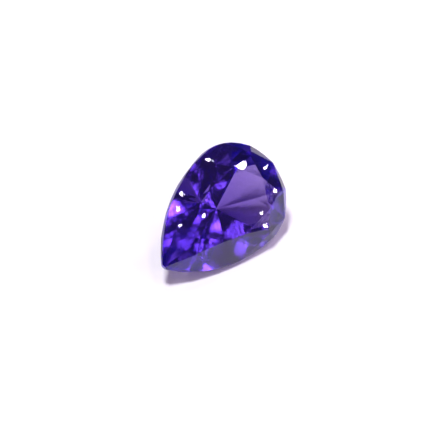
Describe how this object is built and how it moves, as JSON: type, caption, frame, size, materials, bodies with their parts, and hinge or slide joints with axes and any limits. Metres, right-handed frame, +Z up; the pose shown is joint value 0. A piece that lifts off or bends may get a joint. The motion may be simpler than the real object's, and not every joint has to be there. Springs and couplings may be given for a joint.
{
  "type": "pear-cut tanzanite gemstone",
  "caption": "Faceted violet-blue tanzanite in a pear cut, see-through, lying on its pavilion and leaning to one side",
  "frame": {"origin": "The point on the surface under the middle of the stone as it lies, seen from above.", "axes": "+Z is up. +Y runs along the stone from its tip to its round head, as seen from above. +X is the side that the stone leans down to."},
  "size_m": [0.0054, 0.0098, 0.0053],
  "materials": {
    "tanzanite": "polished, see-through"
  },
  "bodies": {
    "root": {"tanzanite": "tanzanite"}
  },
  "joints": []
}
